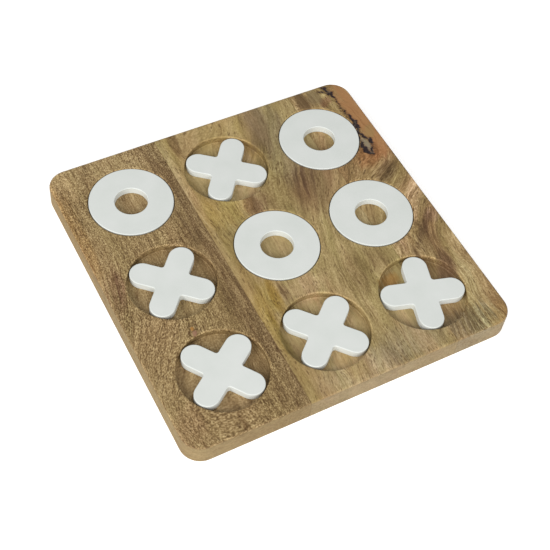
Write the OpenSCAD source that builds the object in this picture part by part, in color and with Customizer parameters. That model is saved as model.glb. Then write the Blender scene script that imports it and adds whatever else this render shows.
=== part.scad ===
// Tic tac toe set: a square board glued up from three staves, with nine round
// recesses that each hold one loose ring or cross level with the board's top.
// Millimetres. +Z is up, +Y is towards the back, and the origin is the middle
// of the board's underside.

/* [Board] */
// Length of each side of the square board
board_side = 254; // [248:1:300]
// Thickness of the board
board_thick = 18; // [14:0.5:24]
// Radius of the board's four upright corners
corner_r = 15; // [8:0.5:18]
// Place of the left glue line, from the middle of the board
left_seam_x = -38; // [-46:0.5:-20]
// Place of the right glue line, from the middle of the board
right_seam_x = 78; // [50:0.5:100]

/* [Recesses] */
// Distance between the centres of neighbouring recesses
pitch = 79; // [72:0.5:80]
// Diameter of each recess
recess_d = 63.5; // [63.5:0.1:66]
// Depth of each recess
recess_depth = 5.8; // [3:0.1:8]
// Width of the softened rim at the mouth of each recess
rim_w = 0.8; // [0.2:0.1:1.5]
// How far the grid of recesses is turned against the board's edges
grid_turn = -1.1; // [-1.5:0.1:1.5]
// How far the grid of recesses is cut off the middle, to the right
grid_shift_x = 0.5; // [-1:0.5:1]
// How far the grid of recesses is cut off the middle, to the back
grid_shift_y = -0.5; // [-1:0.5:1]

/* [Playing pieces] */
// Thickness of every playing piece
piece_thick = 5.8; // [3:0.1:8]
// Outer diameter of a ring
ring_d = 62.5; // [50:0.5:62.5]
// Diameter of the hole in a ring
hole_d = 24.5; // [14:0.5:34]
// Length of a cross from end to end of an arm
cross_span = 62; // [50:0.5:62.5]
// Width of the arms of a cross
arm_w = 18.4; // [12:0.1:22]
// Radius in the four inner corners of a cross
inner_r = 2; // [1:0.5:4]

/* [Hidden] */
$fn = 96;
half_side = board_side / 2;
floor_z = board_thick - recess_depth;
past = 1; // how far a cutting shape runs past the surface that it cuts

// The recesses were cut by hand. Each is this far off its place in the grid,
// [right, back], in rows from the front to the back.
DRIFT = [
    [[0.5, -0.5], [-0.5, -1], [-0.5, 0]],
    [[-1.5, 0.5], [2, 0], [1, -1]],
    [[0, -0.5], [-1, 1], [-0.5, 0.5]]
];

// Turn of each cross in its recess, in degrees
turn_back_middle = 52;
turn_middle_left = 48;
turn_front_left = 36;
turn_front_middle = 41.5;
turn_front_right = 74;

// Centre of the recess in a column (-1 left, 0, 1 right) and a row (-1 front, 0, 1 back)
function drift(col, row) = DRIFT[row + 1][col + 1];
function seat_x(col, row) =
    grid_shift_x + pitch * (col * cos(grid_turn) - row * sin(grid_turn)) + drift(col, row)[0];
function seat_y(col, row) =
    grid_shift_y + pitch * (col * sin(grid_turn) + row * cos(grid_turn)) + drift(col, row)[1];

// Puts a shape on the floor of a recess
module seated(col, row, turn = 0) {
    translate([seat_x(col, row), seat_y(col, row), floor_z])
        rotate(turn)
            children();
}

// Square outline with round corners
module board_outline() {
    inset = half_side - corner_r;
    square([board_side, 2 * inset], center = true);
    square([2 * inset, board_side], center = true);
    for (x = [-inset, inset], y = [-inset, inset])
        translate([x, y])
            circle(r = corner_r);
}

// Shape that the cutter leaves: straight wall, flat floor and a bevelled rim
module recess() {
    r = recess_d / 2;
    rotate_extrude()
        polygon([
            [0, 0],
            [r, 0],
            [r, recess_depth - rim_w],
            [r + rim_w + past, recess_depth + past],
            [0, recess_depth + past]
        ]);
}

// Part of the finished board that lies between two glue lines
module stave(from_x, to_x) {
    difference() {
        linear_extrude(board_thick)
            intersection() {
                board_outline();
                translate([from_x, -board_side])
                    square([to_x - from_x, 2 * board_side]);
            }
        for (col = [-1 : 1], row = [-1 : 1])
            seated(col, row)
                recess();
    }
}

// Flat ring, the O of the game
module ring(col, row) {
    color([0.86, 0.87, 0.85])
        seated(col, row)
            difference() {
                cylinder(h = piece_thick, d = ring_d);
                translate([0, 0, -past])
                    cylinder(h = piece_thick + 2 * past, d = hole_d);
            }
}

// One arm of a cross from end to end, with round ends
module cross_arm() {
    reach = cross_span / 2 - arm_w / 2;
    square([2 * reach, arm_w], center = true);
    for (x = [-reach, reach])
        translate([x, 0])
            circle(d = arm_w);
}

// Middle of a cross, which rounds its four inner corners
module cross_middle() {
    corner = arm_w / 2 + inner_r;
    difference() {
        square(2 * corner, center = true);
        for (x = [-corner, corner], y = [-corner, corner])
            translate([x, y])
                circle(r = inner_r);
    }
}

// Flat cross, the X of the game
module cross(col, row, turn) {
    color([0.86, 0.87, 0.85])
        seated(col, row, turn)
            linear_extrude(piece_thick)
                union() {
                    cross_arm();
                    rotate(90)
                        cross_arm();
                    cross_middle();
                }
}

module left_stave() {
    color([0.62, 0.53, 0.37])
        stave(-half_side, left_seam_x);
}

module middle_stave() {
    color([0.68, 0.59, 0.4])
        stave(left_seam_x, right_seam_x);
}

module right_stave() {
    color([0.62, 0.5, 0.34])
        stave(right_seam_x, half_side);
}

module ring_back_left() ring(-1, 1);
module ring_back_right() ring(1, 1);
module ring_centre() ring(0, 0);
module ring_middle_right() ring(1, 0);
module cross_back_middle() cross(0, 1, turn_back_middle);
module cross_middle_left() cross(-1, 0, turn_middle_left);
module cross_front_left() cross(-1, -1, turn_front_left);
module cross_front_middle() cross(0, -1, turn_front_middle);
module cross_front_right() cross(1, -1, turn_front_right);

left_stave();
middle_stave();
right_stave();
ring_back_left();
ring_back_right();
ring_centre();
ring_middle_right();
cross_back_middle();
cross_middle_left();
cross_front_left();
cross_front_middle();
cross_front_right();
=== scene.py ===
import math
from types import SimpleNamespace

import bmesh
import bpy
from mathutils import Matrix, Vector
from mathutils.geometry import delaunay_2d_cdt


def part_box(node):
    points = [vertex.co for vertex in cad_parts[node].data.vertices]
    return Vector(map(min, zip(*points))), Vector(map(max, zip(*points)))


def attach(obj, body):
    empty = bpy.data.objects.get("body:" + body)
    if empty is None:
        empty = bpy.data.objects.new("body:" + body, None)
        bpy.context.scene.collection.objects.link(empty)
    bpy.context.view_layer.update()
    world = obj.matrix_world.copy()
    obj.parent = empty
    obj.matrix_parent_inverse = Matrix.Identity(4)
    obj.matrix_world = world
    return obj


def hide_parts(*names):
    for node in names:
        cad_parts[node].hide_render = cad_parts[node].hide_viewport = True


# The tic tac toe set: three glued staves of mango wood that make one board, and nine loose white
# playing pieces in its recesses. Lengths are in metres unless a name or a comment says millimetres.

MM = 0.001

# ---------------------------------------------------------------------------------------- frame

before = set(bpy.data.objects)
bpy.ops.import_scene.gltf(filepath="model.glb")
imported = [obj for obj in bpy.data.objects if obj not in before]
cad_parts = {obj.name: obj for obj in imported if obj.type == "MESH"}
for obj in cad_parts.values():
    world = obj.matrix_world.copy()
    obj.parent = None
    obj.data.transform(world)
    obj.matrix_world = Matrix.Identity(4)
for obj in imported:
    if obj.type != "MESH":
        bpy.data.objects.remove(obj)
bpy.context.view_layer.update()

RINGS = ["ring_back_left", "ring_back_right", "ring_centre", "ring_middle_right"]
# Turn of each cross in its recess, in degrees
CROSS_TURN = {
    "cross_back_middle": 52.0,
    "cross_middle_left": 48.0,
    "cross_front_left": 36.0,
    "cross_front_middle": 41.5,
    "cross_front_right": 74.0,
}

# The board
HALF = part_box("right_stave")[1].x
SIDE = 2 * HALF
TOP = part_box("middle_stave")[1].z
FLOOR_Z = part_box("ring_centre")[0].z
LEFT_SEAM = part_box("left_stave")[1].x
RIGHT_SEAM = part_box("right_stave")[0].x
CORNER_R = 15 * MM
TOP_EDGE_R = 1.6 * MM
BOTTOM_EDGE_R = 1.2 * MM
RECESS_R = 31.75 * MM
RIM_R = 1.3 * MM
COVE_R = 0.7 * MM
RECESS_POINTS = 144

# Steps in which quarter rounds are drawn
EDGE_STEPS = 6
LOW_EDGE_STEPS = 4
FOOT_STEPS = 3

# The playing pieces
RING_HOLE_R = 12.25 * MM
CROSS_SPAN = 62 * MM
ARM_W = 18.4 * MM
INNER_R = 2 * MM
PIECE_EDGE_R = 0.6 * MM
PIECE_FOOT_R = 0.3 * MM
RING_POINTS = 192
CROSS_END_STEPS = 32
CROSS_FILLET_STEPS = 8


def centre_of(node):
    """Middle of a CAD node's box, seen from above."""
    low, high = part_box(node)
    return Vector(((low.x + high.x) / 2, (low.y + high.y) / 2))


RECESSES = [centre_of(node) for node in RINGS + list(CROSS_TURN)]

# --------------------------------------------------------------------------------- mesh helpers


def quarter(radius, steps):
    """(inset, rise) pairs of a quarter round that starts on a wall and ends on a flat."""
    angles = [0.5 * math.pi * i / steps for i in range(steps + 1)]
    return [(radius * (1 - math.cos(a)), radius * math.sin(a)) for a in angles]


def circle_points(centre, radius, count):
    """Counterclockwise points of a circle."""
    angles = [2 * math.pi * i / count for i in range(count)]
    return [(centre.x + radius * math.cos(a), centre.y + radius * math.sin(a)) for a in angles]


def rounded_square(half, radius, per_corner=14, per_side=60):
    """Counterclockwise outline; the same counts give matching points at any size."""
    reach = half - radius
    points = []
    for k in range(4):
        turn = Matrix.Rotation(0.5 * math.pi * k, 2)
        for i in range(per_corner + 1):
            a = 0.5 * math.pi * i / per_corner
            arc = Vector((reach + radius * math.cos(a), reach + radius * math.sin(a)))
            points.append(turn @ arc)
        for i in range(1, per_side):
            points.append(turn @ Vector((reach * (1 - 2 * i / per_side), half)))
    return [(p.x, p.y) for p in points]


def add_loop(bm, points, z):
    """Vertices at one height, one for each (x, y) point."""
    return [bm.verts.new((x, y, z)) for x, y in points]


def join_loops(bm, lower, upper):
    """Quads between two matching closed loops."""
    count = len(lower)
    for i in range(count):
        j = (i + 1) % count
        bm.faces.new((lower[i], lower[j], upper[j], upper[i]))


def join_stack(bm, loops):
    """Quads between each loop and the next."""
    for lower, upper in zip(loops, loops[1:]):
        join_loops(bm, lower, upper)


def finish_mesh(bm, name, sharp_deg=40):
    """Turns a bmesh into a smooth-shaded object that keeps its sharp corners."""
    bmesh.ops.recalc_face_normals(bm, faces=bm.faces)
    mesh = bpy.data.meshes.new(name)
    bm.to_mesh(mesh)
    bm.free()
    mesh.shade_smooth()
    mesh.set_sharp_from_angle(angle=math.radians(sharp_deg))
    piece = bpy.data.objects.new(name, mesh)
    bpy.context.scene.collection.objects.link(piece)
    weighted = piece.modifiers.new("even_shading", "WEIGHTED_NORMAL")
    weighted.keep_sharp = True
    return piece


# ------------------------------------------------------------------------------ bark inclusion

# Lines of bark that run through the back right corner, as (x, y, width) in millimetres
BARK_LINES_MM = [
    [(106.5, 126, 1.6), (110, 123, 2.6), (112, 118.5, 2.6), (112.8, 114, 1.6), (113, 108, 1.0),
     (112.6, 101, 0.8), (113, 95, 1.1), (114, 90, 2.0), (114.6, 85, 2.8), (114.4, 79, 3.6),
     (113.4, 73.5, 3.2), (112.4, 69, 2.0), (114, 64.5, 1.8), (116, 60.5, 3.4), (117, 57, 2.6)],
    [(103, 122.5, 0.8), (107, 120.5, 1.8), (110.5, 116.5, 2.0)],
    [(112.4, 70, 1.8), (109.6, 65, 1.2), (108.2, 59.5, 2.8), (107.6, 54, 4.2), (109, 49, 4.0),
     (111.5, 46.8, 2.0)],
    [(117, 58, 2.2), (114.4, 53, 1.0), (112.4, 49, 2.6)],
]
BARK_DEPTH = 0.5 * MM
# Distance over which the top sinks to the bark's depth
BARK_SOFTNESS_MM = 1.0
# Greatest distance from the bark that is told apart
BARK_REACH_MM = 6.0
# Lowest x and y and highest x and y of the area that holds the bark
BARK_AREA_MM = (98, 41.5, 124, 127)


def bark_at(x, y):
    """Millimetres from a point of the board to the edge of the bark, above 0 inside it."""
    p = Vector((x / MM, y / MM))
    low_x, low_y, high_x, high_y = BARK_AREA_MM
    if not (low_x < p.x < high_x and low_y < p.y < high_y):
        return -BARK_REACH_MM
    # Small waves in the outline
    p.x += 0.6 * math.sin(0.9 * p.y) + 0.3 * math.sin(2.3 * p.y + 1.7 * p.x)
    best = -BARK_REACH_MM
    for line in BARK_LINES_MM:
        for (ax, ay, aw), (bx, by, bw) in zip(line, line[1:]):
            a, b = Vector((ax, ay)), Vector((bx, by))
            t = max(0.0, min(1.0, (p - a).dot(b - a) / (b - a).length_squared))
            half_width = 0.5 * (aw + t * (bw - aw))
            best = max(best, half_width - (p - a.lerp(b, t)).length)
    return best


def bark_dip(x, y):
    """How far the weathered bark lies below the board's top."""
    return BARK_DEPTH * max(0.0, min(1.0, bark_at(x, y) / BARK_SOFTNESS_MM))


# ------------------------------------------------------------------------------------ the board

# Areas where the grain leans to the right towards the back, in millimetres: slope, the place along
# y where the grain isn't moved, and the centre and half size of the area
GRAIN_LEANS = [
    (0.3, 40, (-125, -70), (45, 90)),
    (0.22, 0, (66, 40), (44, 120)),
    (0.95, -5, (128, -5), (32, 75)),
    (0.4, -90, (110, -95), (30, 40)),
]


def hill(x, y, centre, size):
    """Smooth hill of height 1 around a centre, for bending the grain."""
    return math.exp(-(((x - centre[0]) / size[0]) ** 2) - ((y - centre[1]) / size[1]) ** 2)


def grain_coordinates(co):
    """Millimetre coordinates in which the grain runs straight along the second axis."""
    x, y, z = co.x / MM, co.y / MM, co.z / MM
    # Gentle waves, and a lean over the right half that fades out to the left
    across = x + 1.5 * math.sin(y / 47 + x / 60)
    across -= 0.14 * y * (0.5 + 0.5 * math.tanh((x + 5) / 25))
    # The leans of single areas, the strongest round a limb at the right side
    for slope, fixed_y, centre, size in GRAIN_LEANS:
        across -= slope * (y - fixed_y) * hill(x, y, centre, size)
    return across, y, z


def add_attributes(piece):
    """Stores the grain coordinates and the bark's distance on the points of a stave."""
    mesh = piece.data
    mesh.attributes.new("grain", "FLOAT_VECTOR", "POINT")
    mesh.attributes.new("bark", "FLOAT", "POINT")
    grain = mesh.attributes["grain"]
    bark = mesh.attributes["bark"]
    for i, vertex in enumerate(mesh.vertices):
        grain.data[i].vector = grain_coordinates(vertex.co)
        near_top = vertex.co.z > FLOOR_Z + 1 * MM
        bark.data[i].value = bark_at(vertex.co.x, vertex.co.y) if near_top else -BARK_REACH_MM


# Places of points across the board's side, underside and recess floors
SIDE_HEIGHTS_MM = (4, 8, 12)
UNDERSIDE_GRID_MM = range(-104, 105, 8)
FLOOR_CIRCLES_MM = range(29, 0, -3)

# Steps of the points that fill the flat top, and of those round the bark
TOP_STEP = 2.6 * MM
BARK_STEP = 0.45 * MM
# How far the points of the flat top stay from the round edges and from the rims
EDGE_GAP = 1 * MM
RIM_GAP = 0.4 * MM


def in_recess(x, y, radius):
    """Whether a point lies within a radius of the middle of a recess."""
    return any((x - c.x) ** 2 + (y - c.y) ** 2 < radius**2 for c in RECESSES)


def in_bark_area(x, y):
    """Whether a point lies in the area that holds the bark."""
    low_x, low_y, high_x, high_y = (v * MM for v in BARK_AREA_MM)
    return low_x < x < high_x and low_y < y < high_y


def on_flat_top(x, y):
    """Whether a point lies on the flat top, clear of the edges, the corners and the rims."""
    if max(abs(x), abs(y)) > HALF - TOP_EDGE_R - EDGE_GAP:
        return False
    corner = Vector((abs(x), abs(y))) - Vector((HALF - CORNER_R, HALF - CORNER_R))
    if min(corner) > 0 and corner.length > CORNER_R - TOP_EDGE_R - EDGE_GAP:
        return False
    return not in_recess(x, y, RECESS_R + RIM_R + RIM_GAP)


def grid_points(x0, y0, x1, y1, step):
    """Points of a grid whose every other row is moved by half a step."""
    for i in range(int((x1 - x0) / step) + 1):
        for j in range(int((y1 - y0) / step) + 1):
            yield x0 + step * (i + 0.5 * (j % 2)), y0 + step * j


def top_points():
    """Extra points of the flat top: a plain grid, finer where the bark shows."""
    inner = HALF - TOP_EDGE_R - EDGE_GAP
    coarse = [p for p in grid_points(-inner, -inner, inner, inner, TOP_STEP) if not in_bark_area(*p)]
    fine = list(grid_points(*(v * MM for v in BARK_AREA_MM), BARK_STEP))
    return [p for p in coarse + fine if on_flat_top(*p)]


# Distance below which two points count as one
MERGE_DISTANCE = 1e-7
# Twice the area, in square metres, below which a triangle is left out
SLIVER = 1e-9


def fill_flat(bm, boundary_loops, extra, z, keep):
    """Triangles between closed loops of vertices that lie at one height."""
    verts = [v for loop in boundary_loops for v in loop]
    edges = []
    start = 0
    for loop in boundary_loops:
        count = len(loop)
        edges += [(start + i, start + (i + 1) % count) for i in range(count)]
        start += count
    verts += [bm.verts.new((x, y, z)) for x, y in extra]
    flat = [Vector((v.co.x, v.co.y)) for v in verts]
    result = delaunay_2d_cdt(flat, edges, [], 0, MERGE_DISTANCE, True)
    points, triangles, origins = result[0], result[2], result[3]
    for triangle in triangles:
        a, b, c = (points[i] for i in triangle)
        middle = (a + b + c) / 3
        if (b - a).cross(c - a) > SLIVER and keep(middle.x, middle.y):
            bm.faces.new([verts[origins[i][0]] for i in triangle])


def recess_loops(bm, centre):
    """Rim, wall, cove and floor of a recess, from the top down to the middle of its floor."""
    rim = quarter(RIM_R, EDGE_STEPS)
    cove = quarter(COVE_R, LOW_EDGE_STEPS)
    profile = [(RECESS_R + inset, TOP - RIM_R + rise) for inset, rise in reversed(rim)]
    profile += [(RECESS_R, FLOOR_Z + COVE_R + 1 * MM)]
    profile += [(RECESS_R - inset, FLOOR_Z + COVE_R - rise) for inset, rise in cove]
    profile += [(r * MM, FLOOR_Z) for r in FLOOR_CIRCLES_MM]
    loops = [add_loop(bm, circle_points(centre, r, RECESS_POINTS), z) for r, z in profile]
    for upper, lower in zip(loops, loops[1:]):
        join_loops(bm, lower, upper)
    bm.faces.new(loops[-1])
    return loops[0]


def whole_board():
    """The board before it is parted at its glue lines."""
    bm = bmesh.new()
    bottom_edge = quarter(BOTTOM_EDGE_R, LOW_EDGE_STEPS)
    top_edge = quarter(TOP_EDGE_R, EDGE_STEPS)
    profile = [(inset, BOTTOM_EDGE_R - rise) for inset, rise in reversed(bottom_edge)]
    profile += [(0.0, z * MM) for z in SIDE_HEIGHTS_MM]
    profile += [(inset, TOP - TOP_EDGE_R + rise) for inset, rise in top_edge]
    loops = [add_loop(bm, rounded_square(HALF - d, CORNER_R - d), z) for d, z in profile]
    join_stack(bm, loops)
    rims = [recess_loops(bm, centre) for centre in RECESSES]
    rim_r = RECESS_R + RIM_R
    fill_flat(bm, [loops[-1]] + rims, top_points(), TOP, lambda x, y: not in_recess(x, y, rim_r))
    under = [(x * MM, y * MM) for x in UNDERSIDE_GRID_MM for y in UNDERSIDE_GRID_MM]
    fill_flat(bm, [loops[0]], under, 0.0, lambda x, y: True)
    # Only the flat top sinks where the bark is
    for vertex in bm.verts:
        if vertex.co.z > TOP - 0.01 * MM:
            vertex.co.z -= bark_dip(vertex.co.x, vertex.co.y)
    return bm


def cut_at(bm, x, keep_right):
    """Cuts away what lies on one side of an upright plane and closes the cut."""
    side = 1 if keep_right else -1
    geometry = bm.verts[:] + bm.edges[:] + bm.faces[:]
    cut = bmesh.ops.bisect_plane(
        bm,
        geom=geometry,
        dist=MERGE_DISTANCE,
        plane_co=(x, 0, 0),
        plane_no=(side, 0, 0),
        clear_inner=True,
    )
    edges = [e for e in cut["geom_cut"] if isinstance(e, bmesh.types.BMEdge)]
    closed = bmesh.ops.holes_fill(bm, edges=edges, sides=0)
    bmesh.ops.triangulate(bm, faces=closed["faces"])


def build_stave(name, source, from_x, to_x):
    """One stave, cut from the whole board between two glue lines; None is the board's edge."""
    bm = source.copy()
    if from_x is not None:
        cut_at(bm, from_x, True)
    if to_x is not None:
        cut_at(bm, to_x, False)
    piece = finish_mesh(bm, name + "_wood")
    add_attributes(piece)
    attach(piece, "board")
    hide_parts(name)
    return piece


# --------------------------------------------------------------------------- the playing pieces


def edge_profile(height):
    """(inset, z) pairs up a piece's outer wall with round lower and upper edges."""
    foot = quarter(PIECE_FOOT_R, FOOT_STEPS)
    edge = quarter(PIECE_EDGE_R, EDGE_STEPS)
    lower = [(inset, PIECE_FOOT_R - rise) for inset, rise in reversed(foot)]
    upper = [(inset, height - PIECE_EDGE_R + rise) for inset, rise in edge]
    return lower + upper


def build_ring(node):
    """A flat ring with round edges, built up from circles."""
    low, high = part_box(node)
    centre = centre_of(node)
    outer_r = (high.x - low.x) / 2
    profile = edge_profile(high.z - low.z)
    bm = bmesh.new()
    outer = []
    inner = []
    for inset, z in profile:
        wall = circle_points(centre, outer_r - inset, RING_POINTS)
        hole = circle_points(centre, RING_HOLE_R + inset, RING_POINTS)
        outer.append(add_loop(bm, wall, low.z + z))
        inner.append(add_loop(bm, hole, low.z + z))
    join_stack(bm, outer)
    join_stack(bm, inner[::-1])
    join_loops(bm, outer[-1], inner[-1])
    join_loops(bm, inner[0], outer[0])
    return finish_mesh(bm, node + "_resin")


def cross_outline(inset):
    """Outline of a cross around the origin, drawn in by inset all round."""
    half_arm = ARM_W / 2 - inset
    reach = CROSS_SPAN / 2 - ARM_W / 2
    fillet = INNER_R + inset
    corner = half_arm + fillet
    side = []
    for i in range(CROSS_END_STEPS + 1):
        a = math.pi * (i / CROSS_END_STEPS - 0.5)
        side.append(Vector((reach + half_arm * math.cos(a), half_arm * math.sin(a))))
    for i in range(CROSS_FILLET_STEPS + 1):
        a = 1.5 * math.pi - 0.5 * math.pi * i / CROSS_FILLET_STEPS
        side.append(Vector((corner + fillet * math.cos(a), corner + fillet * math.sin(a))))
    points = []
    for k in range(4):
        turn = Matrix.Rotation(0.5 * math.pi * k, 2)
        points += [turn @ p for p in side]
    return points


def build_cross(node):
    """A flat cross with round ends and edges."""
    low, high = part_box(node)
    centre = centre_of(node)
    turn = Matrix.Rotation(math.radians(CROSS_TURN[node]), 2)
    bm = bmesh.new()
    loops = []
    for inset, z in edge_profile(high.z - low.z):
        outline = [turn @ p + centre for p in cross_outline(inset)]
        loops.append(add_loop(bm, [(p.x, p.y) for p in outline], low.z + z))
    join_stack(bm, loops)
    caps = [bm.faces.new(loops[0]), bm.faces.new(loops[-1])]
    for cap in caps:
        cap.normal_update()
    bmesh.ops.triangulate(bm, faces=caps)
    return finish_mesh(bm, node + "_resin")


# -------------------------------------------------------------------------------- node helpers


def srgb(red, green, blue):
    """A colour given as 0 to 255 screen values, as Blender's linear colour."""
    linear = []
    for value in (red, green, blue):
        v = value / 255
        linear.append(v / 12.92 if v <= 0.04045 else ((v + 0.055) / 1.055) ** 2.4)
    return (*linear, 1.0)


class Nodes:
    """Short calls that build one material's node tree."""

    def __init__(self, name):
        self.material = bpy.data.materials.new(name)
        self.material.use_nodes = True
        self.tree = self.material.node_tree
        self.tree.nodes.clear()
        self.output = self.add("ShaderNodeOutputMaterial")
        self.shader = self.add("ShaderNodeBsdfPrincipled")
        self.link(self.shader.outputs["BSDF"], self.output.inputs["Surface"])

    def add(self, kind, **settings):
        node = self.tree.nodes.new(kind)
        for key, value in settings.items():
            setattr(node, key, value)
        return node

    def link(self, source, target):
        self.tree.links.new(source, target)

    def put(self, value, target):
        """Links a socket, or sets a plain value."""
        if isinstance(value, bpy.types.NodeSocket):
            self.link(value, target)
        else:
            target.default_value = value

    def math(self, operation, a, b=0.0):
        node = self.add("ShaderNodeMath", operation=operation)
        self.put(a, node.inputs[0])
        self.put(b, node.inputs[1])
        return node.outputs[0]

    def product(self, first, *others):
        result = first
        for other in others:
            result = self.math("MULTIPLY", result, other)
        return result

    def multiply_add(self, a, factor, addend):
        node = self.add("ShaderNodeMath", operation="MULTIPLY_ADD")
        self.put(a, node.inputs[0])
        self.put(factor, node.inputs[1])
        self.put(addend, node.inputs[2])
        return node.outputs[0]

    def vector(self, operation, a, b):
        node = self.add("ShaderNodeVectorMath", operation=operation)
        self.put(a, node.inputs[0])
        self.put(b, node.inputs[1])
        return node.outputs["Vector"]

    def split(self, vector):
        """The X, Y and Z outputs of a vector."""
        node = self.add("ShaderNodeSeparateXYZ")
        self.link(vector, node.inputs[0])
        return node.outputs

    def attribute(self, name, output):
        return self.add("ShaderNodeAttribute", attribute_name=name).outputs[output]

    def millimetres(self):
        """Place on the object in millimetres."""
        place = self.add("ShaderNodeTexCoord").outputs["Object"]
        return self.vector("MULTIPLY", place, (1000, 1000, 1000))

    def noise(self, vector, across, along, detail, roughness=0.5):
        """Noise drawn out along the second axis, with scales per unit of the vector."""
        node = self.add("ShaderNodeTexNoise")
        self.link(self.vector("MULTIPLY", vector, (across, along, across)), node.inputs["Vector"])
        node.inputs["Scale"].default_value = 1.0
        node.inputs["Detail"].default_value = detail
        node.inputs["Roughness"].default_value = roughness
        return node.outputs["Fac"]

    def cells(self, vector, across, along):
        """Distance to the nearest point of a scatter drawn out along the second axis."""
        node = self.add("ShaderNodeTexVoronoi", feature="F1")
        self.link(self.vector("MULTIPLY", vector, (across, along, across)), node.inputs["Vector"])
        node.inputs["Scale"].default_value = 1.0
        return node.outputs["Distance"]

    def ramp(self, value, low, high, to_low=0.0, to_high=1.0):
        """Smooth step of a value from low to high."""
        node = self.add("ShaderNodeMapRange", interpolation_type="SMOOTHSTEP")
        self.put(value, node.inputs["Value"])
        node.inputs["From Min"].default_value = low
        node.inputs["From Max"].default_value = high
        node.inputs["To Min"].default_value = to_low
        node.inputs["To Max"].default_value = to_high
        return node.outputs["Result"]

    def mix(self, factor, a, b, blend="MIX"):
        node = self.add("ShaderNodeMix", data_type="RGBA", blend_type=blend)
        self.put(factor, node.inputs["Factor"])
        self.put(a, node.inputs["A"])
        self.put(b, node.inputs["B"])
        return node.outputs["Result"]

    def colours(self, value, stops):
        """Colour ramp with (place, colour) stops."""
        node = self.add("ShaderNodeValToRGB")
        self.put(value, node.inputs["Fac"])
        elements = node.color_ramp.elements
        while len(elements) < len(stops):
            elements.new(0.5)
        for element, (place, colour) in zip(elements, stops):
            element.position = place
            element.color = colour
        return node.outputs["Color"]

    def bump(self, height, strength, distance):
        node = self.add("ShaderNodeBump")
        node.inputs["Strength"].default_value = strength
        node.inputs["Distance"].default_value = distance
        self.put(height, node.inputs["Height"])
        self.link(node.outputs["Normal"], self.shader.inputs["Normal"])


# -------------------------------------------------------------------------------- wood material

# Screen colours. A tint says what the reference tone becomes
REFERENCE = (165, 140, 97)
WARM = (172, 137, 98)
GREEN = (162, 143, 92)
LINE_BROWN = (112, 84, 50)
PORE_BROWN = (84, 60, 34)
GLUE_BROWN = (84, 62, 38)
BARK_BORDER = (104, 76, 52)
BARK_GREY = (88, 78, 66)
BARK_BLACK = (44, 33, 34)

# What the wood's colour is multiplied with on parts of the board
# Painted light that makes the recess floors paler, lifting the shade that falls in them
FLOOR_PAINTED_LIGHT_FACTORS = (1.13, 1.15, 1.22, 1)
# Painted shade on the recess walls
WALL_PAINTED_SHADE_FACTORS = (0.8, 0.76, 0.7, 1)
# Painted highlight on the recess rims
RIM_HIGHLIGHT_FACTORS = (1.2, 1.19, 1.18, 1)
OUTER_EDGE_FACTORS = (0.97, 0.95, 0.95, 1)

# Noise layers, as (across, along, detail, gain) with scales per millimetre
RAGGED_LAYERS = [(0.09, 0.03, 3, 1.6), (0.35, 0.03, 4, 2.6)]
SIDE_LAYERS = [(0.05, 0.01, 3, 1.0), (0.6, 0.05, 4, 1.5)]

# Share of the sanded colour on the board's outer sides; the rest is the colour with the recess walls'
# painted shade
SIDE_SHARE = 0.7


def texture_layers(n, grain, layers, middle):
    """Sum of drawn out noises around a middle value."""
    total = middle - 0.5 * sum(gain for across, along, detail, gain in layers)
    for across, along, detail, gain in layers:
        total = n.multiply_add(n.noise(grain, across, along, detail), gain, total)
    return total


def tinted(n, factor, colour, target, start=REFERENCE):
    """Moves a colour the way that leads from a start tone to a target tone."""
    steps = [a / b for a, b in zip(srgb(*target)[:3], srgb(*start)[:3])]
    return n.mix(factor, colour, (*steps, 1.0), "MULTIPLY")


def wood_fields(n, look):
    """What several layers of the wood read: places, directions, grain and tone."""
    f = SimpleNamespace()
    f.place = n.millimetres()
    f.spot = n.split(f.place)
    straight = n.attribute("grain", "Vector")

    # Waves in the grain
    shift = n.add("ShaderNodeCombineXYZ")
    wave = n.noise(straight, 0.03, 0.022, 2)
    n.link(n.multiply_add(wave, look["wave"], -0.5 * look["wave"]), shift.inputs["X"])
    f.grain = n.vector("ADD", straight, shift.outputs["Vector"])

    # How level and how upright a face is, and whether it is near the board's outer sides
    normal = n.split(n.add("ShaderNodeTexCoord").outputs["Normal"])
    f.level = n.math("ABSOLUTE", normal["Z"])
    f.upright = n.ramp(f.level, 0.75, 0.3)
    from_middle = n.math("MAXIMUM", n.math("ABSOLUTE", f.spot["X"]), n.math("ABSOLUTE", f.spot["Y"]))
    f.outside = n.ramp(from_middle, HALF / MM - 10, HALF / MM - 6)

    # Streaks and bands, and the speckle, which is calmer on the floors that the cutter left
    f.on_top = n.ramp(f.spot["Z"], FLOOR_Z / MM + 1, TOP / MM - 0.5, 0.5, 1.0)
    streaks = texture_layers(n, f.grain, look["streaks"], 0.0)
    speckle = texture_layers(n, f.grain, look["speckle"], 0.0)
    uneven = n.ramp(n.noise(straight, 0.025, 0.02, 2), 0.35, 0.65, 0.8, 1.2)
    f.speckle = n.product(speckle, f.on_top, uneven)
    f.tone = n.math("ADD", n.math("ADD", streaks, f.speckle), 0.5)
    f.ragged = texture_layers(n, f.grain, RAGGED_LAYERS, 0.0)
    return f


def patch_mask(n, f, centre, size, lean, strength):
    """A strength inside a leaning ellipse, which falls to 0 over a ragged edge."""
    offset = n.split(n.vector("SUBTRACT", f.place, (centre[0], centre[1], 0)))
    across = n.multiply_add(offset["Y"], -lean, offset["X"])
    over_x = n.math("POWER", n.math("DIVIDE", across, size[0]), 2)
    over_y = n.math("POWER", n.math("DIVIDE", offset["Y"], size[1]), 2)
    distance = n.math("ADD", n.math("ADD", over_x, over_y), f.ragged)
    return n.product(n.ramp(distance, 1.9, 0.1), strength)


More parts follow.
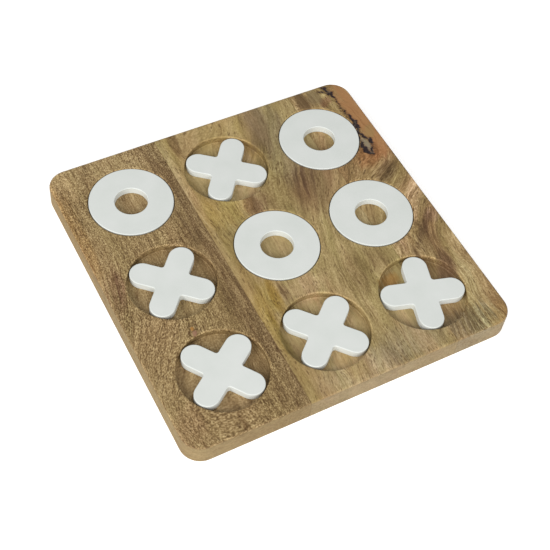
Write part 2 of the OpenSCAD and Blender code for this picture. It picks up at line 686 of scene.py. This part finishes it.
def add_hues(n, f, look, colour):
    """Warmer and greener areas."""
    hue = n.noise(f.grain, 0.06, 0.012, 3)
    warm = n.ramp(hue, 0.45, 0.7, 0.0, 0.6 * look["hues"])
    green = n.ramp(hue, 0.5, 0.3, 0.0, 0.5 * look["hues"])
    colour = tinted(n, warm, colour, WARM)
    return tinted(n, green, colour, GREEN)


def add_patches(n, f, look, colour):
    """Coloured patches. Returns the colour and where a smooth patch closes the grain."""
    middle = look["tones"][1]
    for centre, size, lean, target, strength in look["patches"]:
        mask = patch_mask(n, f, centre, size, lean, strength)
        colour = tinted(n, mask, colour, target, middle)
    smoothness = 0.0
    for centre, size, lean, target, strength in look["smooth_patches"]:
        mask = patch_mask(n, f, centre, size, lean, strength)
        colour = n.mix(mask, colour, srgb(*target))
        smoothness = n.math("MAXIMUM", mask, smoothness)
    stripes = n.ramp(n.noise(f.grain, 0.42, 0.025, 3), 0.4, 0.6)
    for centre, size, lean, target, strength in look["striped_patches"]:
        mask = n.product(patch_mask(n, f, centre, size, lean, strength), stripes)
        colour = tinted(n, mask, colour, target, middle)
    return colour, smoothness


def add_lines(n, f, look, colour):
    """Dark lines along the grain, broken here and there."""
    off_line = n.math("ABSOLUTE", n.math("SUBTRACT", n.noise(f.grain, 0.14, 0.009, 2), 0.5))
    broken = n.ramp(n.noise(f.grain, 0.8, 0.13, 3), 0.4, 0.6, 0.3, 1.0)
    lines = n.product(n.ramp(off_line, 0.026, 0.0, 0.0, look["lines"]), broken)
    return tinted(n, lines, colour, LINE_BROWN)


def add_pores(n, f, look, colour, smoothness):
    """Short dark dashes along the grain, crowded in some places. Returns the colour and their mask."""
    crowd = n.ramp(n.noise(f.grain, 0.09, 0.04, 3), 0.4, 0.62)
    small_pores = n.product(n.ramp(n.cells(f.grain, 0.65, 0.2), 0.4, 0.16), crowd)
    large_pores = n.ramp(n.cells(f.grain, 0.45, 0.07), 0.22, 0.1)
    open_grain = n.product(f.on_top, n.math("SUBTRACT", 1.0, smoothness))
    pores = n.product(n.math("MAXIMUM", small_pores, large_pores), open_grain)
    return n.mix(n.product(pores, look["pores"]), colour, srgb(*PORE_BROWN)), pores


def add_cut_faces(n, f, look, colour):
    """Painted light on the recess floors, painted shade on the recess walls, and the sanded sides of
    the board, which keep some of the walls' painted shade.
    """
    on_floor = n.ramp(f.spot["Z"], FLOOR_Z / MM + 1, FLOOR_Z / MM + 0.4)
    # Painted light on the recess floors
    colour = n.mix(on_floor, colour, FLOOR_PAINTED_LIGHT_FACTORS, "MULTIPLY")
    # Painted shade on the recess walls, deeper where the speckle is strong
    wall = n.mix(n.ramp(f.speckle, -0.5, 0.5, 1.0, 0.6), colour, WALL_PAINTED_SHADE_FACTORS, "MULTIPLY")
    side_tone = texture_layers(n, f.grain, SIDE_LAYERS, 0.5)
    side = n.colours(side_tone, [(0.0, srgb(*look["side_dark"])), (1.0, srgb(*look["side_light"]))])
    # The board's outer sides take their own colour, with a share of the walls' painted shade
    cut = n.mix(n.product(f.outside, SIDE_SHARE), wall, side)
    return n.mix(f.upright, colour, cut)


def add_edges(n, f, colour):
    """Painted highlights on the rims of the recesses, stronger in places, and a slightly darker outer
    edge.
    """
    edge = n.product(n.ramp(f.level, 0.99, 0.85), n.ramp(f.level, 0.15, 0.5))
    above = n.ramp(f.spot["Z"], TOP / MM - 3, TOP / MM - 2)
    # Painted highlight on the rims, stronger in some places and left off the board's outer edge
    highlight_strength = n.ramp(n.noise(f.place, 0.15, 0.15, 3), 0.35, 0.65, 0.2, 1.0)
    rim_highlight = n.product(edge, above, highlight_strength, n.math("SUBTRACT", 1.0, f.outside))
    colour = n.mix(rim_highlight, colour, RIM_HIGHLIGHT_FACTORS, "MULTIPLY")
    return n.mix(n.product(edge, above, f.outside), colour, OUTER_EDGE_FACTORS, "MULTIPLY")


def add_glue_lines(n, f, look, colour):
    """A thin dark line along each seam of the stave."""
    for seam in look["seams"]:
        away = n.math("ABSOLUTE", n.math("SUBTRACT", f.spot["X"], seam / MM))
        colour = n.mix(n.ramp(away, 0.4, 0.05, 0.0, 0.45), colour, srgb(*GLUE_BROWN))
    return colour


def add_bark(n, f, colour):
    """Ragged bark with a browned border. Returns the colour and the bark's mask."""
    noise = n.noise(f.place, 0.4, 0.24, 3)
    depth = n.multiply_add(n.math("SUBTRACT", noise, 0.5), 4.0, n.attribute("bark", "Fac"))
    colour = tinted(n, n.ramp(depth, -1.6, 0.3, 0.0, 0.7), colour, BARK_BORDER)
    mask = n.ramp(depth, -0.2, 0.5)
    bark = n.colours(noise, [(0.35, srgb(*BARK_GREY)), (0.5, srgb(*BARK_BLACK))])
    return n.mix(mask, colour, bark), mask


def wood(look):
    """Oiled mango wood: streaks, speckle, pores, coloured patches, glue lines and bark."""
    n = Nodes(look["slot"])
    f = wood_fields(n, look)
    dark, middle, light = (srgb(*tone) for tone in look["tones"])
    colour = n.colours(f.tone, [(0.0, dark), (0.5, middle), (1.0, light)])
    colour = add_hues(n, f, look, colour)
    colour, smoothness = add_patches(n, f, look, colour)
    colour = add_lines(n, f, look, colour)
    colour, pores = add_pores(n, f, look, colour, smoothness)
    colour = add_cut_faces(n, f, look, colour)
    colour = add_edges(n, f, colour)
    colour = add_glue_lines(n, f, look, colour)
    colour, bark_mask = add_bark(n, f, colour)
    n.link(colour, n.shader.inputs["Base Color"])

    # Pores and cut sides are duller, and the bark and the pores lie lower
    polish = n.ramp(n.math("SUBTRACT", f.tone, pores), -0.4, 0.9, 0.7, 0.5)
    roughness = n.math("MAXIMUM", polish, n.product(f.upright, 0.8))
    n.link(roughness, n.shader.inputs["Roughness"])
    n.shader.inputs["Specular IOR Level"].default_value = 0.2
    relief = n.math("SUBTRACT", n.product(f.speckle, 0.8), n.product(pores, 0.7))
    n.bump(n.math("SUBTRACT", relief, bark_mask), 0.5, 0.35 * MM)
    return n.material


# Noise layers of the wood, as (across, along, detail, gain) with scales per millimetre
FINE_STREAKS = [(0.45, 0.016, 3, 0.6), (0.12, 0.01, 3, 0.15)]
FINE_SPECKLE = [(1.9, 0.7, 2, 1.8), (0.9, 0.14, 3, 0.55)]
CALM_STREAKS = [(0.35, 0.03, 3, 0.35), (0.09, 0.02, 4, 0.4), (0.04, 0.03, 3, 0.3)]
CALM_SPECKLE = [(1.6, 0.6, 2, 0.7), (0.8, 0.1, 3, 0.45)]

YELLOW = (150, 127, 70)
DARK = (108, 84, 54)

# The look of each stave. The tones are dark, middle and light. A patch is its centre and half size in
# millimetres, its lean, the colour that the middle tone becomes there, and its strength. Wave is how
# far the grain wanders in millimetres. Hues, lines and pores are strengths
LEFT_LOOK = {
    "slot": "brown_mango_wood",
    "tones": ((70, 48, 24), (143, 119, 79), (208, 184, 136)),
    "hues": 0.4,
    "streaks": FINE_STREAKS,
    "speckle": FINE_SPECKLE,
    "wave": 6,
    "lines": 0.75,
    "pores": 0.65,
    "side_dark": (110, 90, 60),
    "side_light": (149, 132, 94),
    "seams": [LEFT_SEAM],
    "patches": [
        ((-40, 0), (9, 190), 0.0, (130, 107, 71), 0.6),
        ((-54, -30), (9, 80), 0.02, (122, 98, 62), 0.6),
        ((-88, 118), (46, 16), 0.0, (158, 134, 92), 0.9),
        ((-118, 112), (12, 16), 0.1, (158, 130, 88), 0.7),
        ((-126, 70), (7, 40), 0.0, (152, 120, 72), 0.7),
        ((-115, 12), (2.5, 14), 0.2, (116, 86, 60), 0.7),
        ((-48, 28), (4, 6), 0.3, (112, 92, 58), 0.5),
        ((-118, -108), (12, 16), 0.3, (134, 105, 70), 0.6),
        ((-84, -42), (5, 6), 0.0, (108, 84, 54), 0.5),
    ],
    "striped_patches": [
        ((-41, 0), (12, 190), 0.0, (84, 60, 34), 0.4),
        ((-50, 90), (5, 60), 0.0, DARK, 0.45),
        ((-80, -112), (40, 16), 0.2, (104, 78, 48), 0.28),
        ((-118, 12), (8, 20), 0.2, (112, 78, 54), 0.45),
    ],
    "smooth_patches": [
        ((-84.5, -40.5), (1.3, 1.6), 0.0, (176, 124, 60), 0.7),
        ((-84.5, -44.5), (1.6, 2.0), 0.3, (152, 112, 92), 0.7),
    ],
}
MIDDLE_LOOK = {
    "slot": "golden_mango_wood",
    "tones": ((84, 64, 32), (157, 136, 91), (214, 192, 142)),
    "hues": 1.0,
    "streaks": CALM_STREAKS,
    "speckle": CALM_SPECKLE,
    "wave": 16,
    "lines": 0.45,
    "pores": 0.6,
    "side_dark": (106, 90, 66),
    "side_light": (152, 136, 106),
    "seams": [LEFT_SEAM, RIGHT_SEAM],
    "patches": [
        ((-32, 0), (6, 170), 0.02, YELLOW, 0.4),
        ((-35, 60), (3, 80), 0.01, (176, 153, 112), 0.8),
        ((-17, 44), (18, 16), 0.2, (168, 143, 86), 0.8),
        ((12, 116), (20, 16), 0.1, (166, 146, 92), 0.6),
        ((31, 96), (6, 24), 0.0, (154, 131, 76), 0.7),
        ((-25, 118), (3, 12), 0.1, (116, 92, 60), 0.8),
        ((48, 92), (16, 46), 0.0, (140, 122, 88), 0.9),
        ((6, 40), (9, 12), 0.1, (128, 102, 70), 1.0),
        ((30, 42), (22, 14), 0.2, (138, 114, 74), 0.6),
        ((58, 40), (16, 26), 0.3, (126, 102, 68), 0.9),
        ((-27, -42), (9, 16), 0.25, (148, 126, 62), 0.6),
        ((-20, -42), (4, 18), 0.1, (152, 122, 58), 0.6),
        ((-14, -42), (1.5, 10), 0.05, DARK, 0.7),
        ((2, -42), (16, 10), 0.1, (170, 144, 104), 0.9),
        ((43, -48), (14, 16), 0.4, (152, 130, 86), 0.9),
        ((66, -42), (12, 10), 0.3, (132, 108, 70), 0.6),
        ((-33, -70), (5, 18), 0.0, (146, 127, 66), 0.5),
        ((2, -113), (8, 12), 0.0, (156, 132, 78), 0.6),
        ((50, -112), (30, 14), 0.3, (152, 135, 98), 0.7),
        ((8, -118), (36, 12), 0.0, (166, 147, 108), 0.7),
        ((62, -60), (8, 6), 0.3, (146, 108, 54), 0.8),
    ],
    "striped_patches": [
        ((-28, 20), (12, 60), 0.02, (112, 88, 44), 0.3),
        ((-13, -42), (4, 12), 0.05, (96, 70, 42), 0.48),
        ((46, 100), (14, 30), 0.3, (100, 80, 52), 0.3),
        ((56, 50), (10, 22), 0.4, (100, 74, 52), 0.48),
        ((-30, -100), (10, 40), 0.0, (116, 96, 50), 0.3),
        ((42, -48), (16, 18), 0.4, (98, 74, 42), 0.42),
        ((36, -112), (40, 16), 0.3, (112, 92, 60), 0.24),
        ((20, 40), (30, 14), 0.1, (116, 90, 54), 0.24),
    ],
    "smooth_patches": [
        ((52, 44), (9, 9), 0.4, (122, 98, 66), 0.4),
        ((38, 108), (10, 16), 0.3, (128, 108, 78), 0.4),
    ],
}
RIGHT_LOOK = {
    "slot": "figured_mango_wood",
    "tones": ((66, 46, 22), (148, 123, 80), (212, 188, 138)),
    "hues": 1.0,
    "streaks": [(0.3, 0.03, 3, 0.55), (0.09, 0.02, 4, 0.4), (0.04, 0.03, 3, 0.35)],
    "speckle": [(1.6, 0.6, 2, 0.95), (0.7, 0.1, 3, 0.7)],
    "wave": 18,
    "lines": 0.5,
    "pores": 0.8,
    "side_dark": (108, 92, 66),
    "side_light": (158, 145, 118),
    "seams": [RIGHT_SEAM],
    "patches": [
        ((107, 46), (14, 11), 0.2, (134, 94, 54), 0.85),
        ((104, 110), (5, 5), 0.4, (112, 74, 50), 0.7),
        ((81, 118), (2.5, 12), 0.0, (164, 136, 94), 0.9),
        ((81, 40), (4, 12), 0.0, (158, 132, 88), 0.8),
        ((90, 38), (4, 8), 0.0, (148, 124, 82), 0.6),
        ((111, 27), (8, 9), 0.9, (92, 72, 46), 0.6),
        ((121, 0), (9, 30), 0.9, (180, 150, 108), 0.9),
        ((120, 52), (7, 12), 0.5, (160, 128, 84), 0.7),
        ((122, -24), (5, 6), 0.3, (160, 132, 98), 0.8),
        ((107, -33), (4, 12), 0.9, (104, 80, 52), 0.7),
        ((82, -41), (6, 7), 0.0, (160, 130, 92), 0.7),
        ((100, -46), (8, 14), 0.5, (126, 102, 68), 0.4),
        ((119, -78), (10, 36), 0.3, (170, 148, 101), 0.9),
        ((104, -72), (6, 16), 0.3, (108, 82, 58), 0.8),
        ((86, -117), (26, 12), 0.2, (140, 124, 88), 0.8),
        ((116, -119), (12, 8), 0.3, (158, 132, 82), 0.7),
    ],
    "striped_patches": [
        ((113, 26), (14, 16), 0.9, (86, 60, 38), 0.38),
        ((108, -32), (8, 18), 0.9, (88, 62, 40), 0.38),
        ((100, -50), (12, 20), 0.6, (92, 68, 42), 0.43),
        ((86, 38), (8, 12), 0.0, (110, 84, 52), 0.37),
        ((88, -114), (28, 14), 0.3, (96, 76, 50), 0.5),
        ((118, -80), (10, 36), 0.4, (110, 90, 56), 0.25),
        ((88, 118), (8, 14), 0.0, (90, 64, 40), 0.37),
    ],
    "smooth_patches": [
        ((121, 90), (8, 44), 0.0, (162, 116, 74), 0.85),
        ((87, 118), (5, 11), 0.0, (98, 76, 50), 0.8),
        ((98, 118), (6, 8), 0.1, (118, 101, 72), 0.7),
        ((120, 68), (4, 7), 0.5, (150, 124, 78), 0.6),
        ((111.6, 57.5), (2.6, 8), 0.0, (136, 126, 104), 0.85),
    ],
}
LOOKS = {"left_stave": LEFT_LOOK, "middle_stave": MIDDLE_LOOK, "right_stave": RIGHT_LOOK}


def resin():
    """Satin white resin with the faint marks of polishing."""
    n = Nodes("white_resin")
    place = n.millimetres()
    cloud = n.noise(place, 0.05, 0.05, 3)
    grit = n.noise(place, 1.6, 1.6, 2)
    scuff = n.noise(place, 0.9, 0.12, 4, roughness=0.7)
    colour = n.colours(cloud, [(0.3, srgb(208, 212, 207)), (0.7, srgb(214, 217, 213))])
    n.link(colour, n.shader.inputs["Base Color"])
    n.link(n.ramp(scuff, 0.35, 0.75, 0.46, 0.56), n.shader.inputs["Roughness"])
    n.bump(n.math("ADD", grit, scuff), 0.05, 0.06 * MM)
    return n.material


# ------------------------------------------------------------------------------ build the object

BOARD = whole_board()
SPANS = {
    "left_stave": (None, LEFT_SEAM),
    "middle_stave": (LEFT_SEAM, RIGHT_SEAM),
    "right_stave": (RIGHT_SEAM, None),
}
for stave, (from_x, to_x) in SPANS.items():
    part = build_stave(stave, BOARD, from_x, to_x)
    part.data.materials.append(wood(LOOKS[stave]))
BOARD.free()

white = resin()
for node in RINGS + list(CROSS_TURN):
    piece = build_ring(node) if node in RINGS else build_cross(node)
    piece.data.materials.append(white)
    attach(piece, node)
    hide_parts(node)

# ------------------------------------------------------------------------ camera, floor, lights

CAMERA_AZIMUTH = math.radians(-33.37)
CAMERA_ELEVATION = math.radians(53.99)
CAMERA_ROLL = math.radians(7.06)
CAMERA_DISTANCE = 3.356 * SIDE
CAMERA_TARGET = Vector((-0.0178 * SIDE, -0.0520 * SIDE, 0.0))
LENS_MM = 76.6
LIGHT_DISTANCE = 3.0
WORLD_STRENGTH = 0.46
FLOOR_RADIUS = 10.0
FLOOR_POINTS = 64
FLOOR_GREY = 0.93
FLOOR_GLOW = 0.4


def direction(azimuth, elevation):
    """Unit vector from the object towards a viewer or a light."""
    flat = math.cos(elevation)
    return Vector((math.sin(azimuth) * flat, -math.cos(azimuth) * flat, math.sin(elevation)))


def add_camera():
    """Camera at the photograph's viewing angle, rolled a little."""
    back = direction(CAMERA_AZIMUTH, CAMERA_ELEVATION)
    level = Vector((math.cos(CAMERA_AZIMUTH), math.sin(CAMERA_AZIMUTH), 0))
    upward = back.cross(level)
    right = math.cos(CAMERA_ROLL) * level + math.sin(CAMERA_ROLL) * upward
    up = math.cos(CAMERA_ROLL) * upward - math.sin(CAMERA_ROLL) * level
    camera = bpy.data.objects.new("camera", bpy.data.cameras.new("camera"))
    bpy.context.scene.collection.objects.link(camera)
    camera.data.lens = LENS_MM
    camera.data.clip_start = 0.01
    turn = Matrix((right, up, back)).transposed().to_4x4()
    camera.matrix_world = Matrix.Translation(CAMERA_TARGET + CAMERA_DISTANCE * back) @ turn
    bpy.context.scene.camera = camera


def add_light(name, azimuth_deg, elevation_deg, size, power):
    """Round soft light aimed at the middle of the board, with its size in metres and power in watts."""
    light = bpy.data.lights.new(name, "AREA")
    light.shape = "DISK"
    light.size = size
    light.energy = power
    lamp = bpy.data.objects.new(name, light)
    bpy.context.scene.collection.objects.link(lamp)
    towards = direction(math.radians(azimuth_deg), math.radians(elevation_deg))
    lamp.location = LIGHT_DISTANCE * towards
    lamp.rotation_euler = towards.to_track_quat("Z", "Y").to_euler()


def add_floor():
    """Plain white floor, wide enough to fill the view."""
    bm = bmesh.new()
    middle = Vector((0.0, 0.0))
    bm.faces.new(add_loop(bm, circle_points(middle, FLOOR_RADIUS, FLOOR_POINTS), 0.0))
    mesh = bpy.data.meshes.new("floor")
    bm.to_mesh(mesh)
    bm.free()
    floor = bpy.data.objects.new("floor", mesh)
    bpy.context.scene.collection.objects.link(floor)
    n = Nodes("white_paper")
    n.shader.inputs["Base Color"].default_value = (FLOOR_GREY, FLOOR_GREY, FLOOR_GREY, 1)
    n.shader.inputs["Roughness"].default_value = 0.9
    n.shader.inputs["Specular IOR Level"].default_value = 0.0
    n.shader.inputs["Emission Color"].default_value = (1, 1, 1, 1)
    n.shader.inputs["Emission Strength"].default_value = FLOOR_GLOW
    mesh.materials.append(n.material)


def add_world():
    """Even white light from all round."""
    world = bpy.data.worlds.new("studio")
    world.use_nodes = True
    bpy.context.scene.world = world
    background = world.node_tree.nodes["Background"]
    background.inputs["Color"].default_value = (1, 1, 1, 1)
    background.inputs["Strength"].default_value = WORLD_STRENGTH


add_camera()
add_floor()
add_world()
add_light("key", azimuth_deg=-80, elevation_deg=32, size=1.8, power=58)
add_light("fill", azimuth_deg=-8, elevation_deg=31, size=2.4, power=57)
bpy.context.scene.view_settings.view_transform = "Standard"
